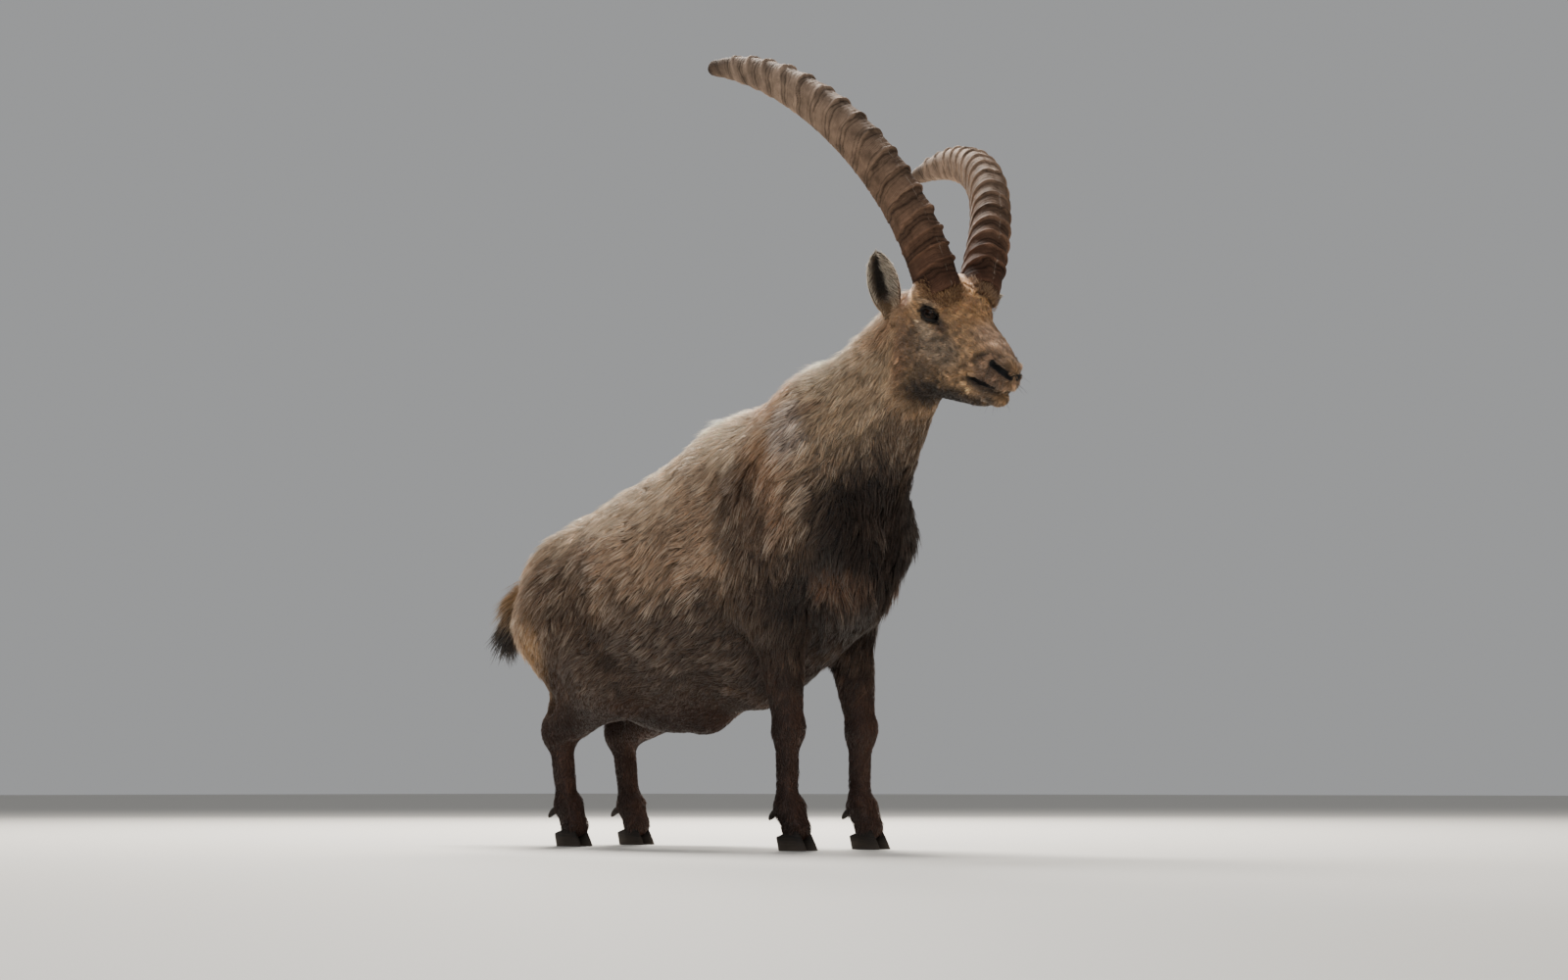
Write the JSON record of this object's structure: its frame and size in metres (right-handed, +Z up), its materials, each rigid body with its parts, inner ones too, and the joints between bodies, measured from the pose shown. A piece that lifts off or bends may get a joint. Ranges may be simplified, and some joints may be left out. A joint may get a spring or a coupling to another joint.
{
  "type": "alpine ibex figure",
  "caption": "Life-size adult male alpine ibex standing foursquare with raised head, long back-swept ridged horns, short beard and tufted tail.",
  "frame": {"origin": "centre of the model's outline on the ground, at the level of the soles", "axes": "+Z up from the ground, +X the way the body faces, +Y to the animal's left"},
  "size_m": [1.3028, 0.5733, 1.4422],
  "materials": {
    "coat": "long dense animal hair, matt",
    "leg_coat": "short dense animal hair, matt",
    "ear_skin": "short fine hair on thin skin, matt",
    "horn": "ringed keratin, satin",
    "hoof": "worn keratin, satin",
    "eye": "wet and glossy"
  },
  "bodies": {
    "root": {"torso": "coat", "neck": "coat", "tail": "coat", "head": "coat", "horn_right": "horn", "ear_right": "ear_skin", "eye_right": "eye", "horn_left": "horn", "ear_left": "ear_skin", "eye_left": "eye", "leg_front_right_upper": "coat", "leg_front_right_lower": "leg_coat", "hoof_front_right_outer": "hoof", "dewclaw_front_right_outer": "hoof", "hoof_front_right_inner": "hoof", "dewclaw_front_right_inner": "hoof", "leg_front_left_upper": "coat", "leg_front_left_lower": "leg_coat", "hoof_front_left_outer": "hoof", "dewclaw_front_left_outer": "hoof", "hoof_front_left_inner": "hoof", "dewclaw_front_left_inner": "hoof", "leg_hind_right_upper": "coat", "leg_hind_right_lower": "leg_coat", "hoof_hind_right_outer": "hoof", "dewclaw_hind_right_outer": "hoof", "hoof_hind_right_inner": "hoof", "dewclaw_hind_right_inner": "hoof", "leg_hind_left_upper": "coat", "leg_hind_left_lower": "leg_coat", "hoof_hind_left_outer": "hoof", "dewclaw_hind_left_outer": "hoof", "hoof_hind_left_inner": "hoof", "dewclaw_hind_left_inner": "hoof"}
  },
  "joints": []
}
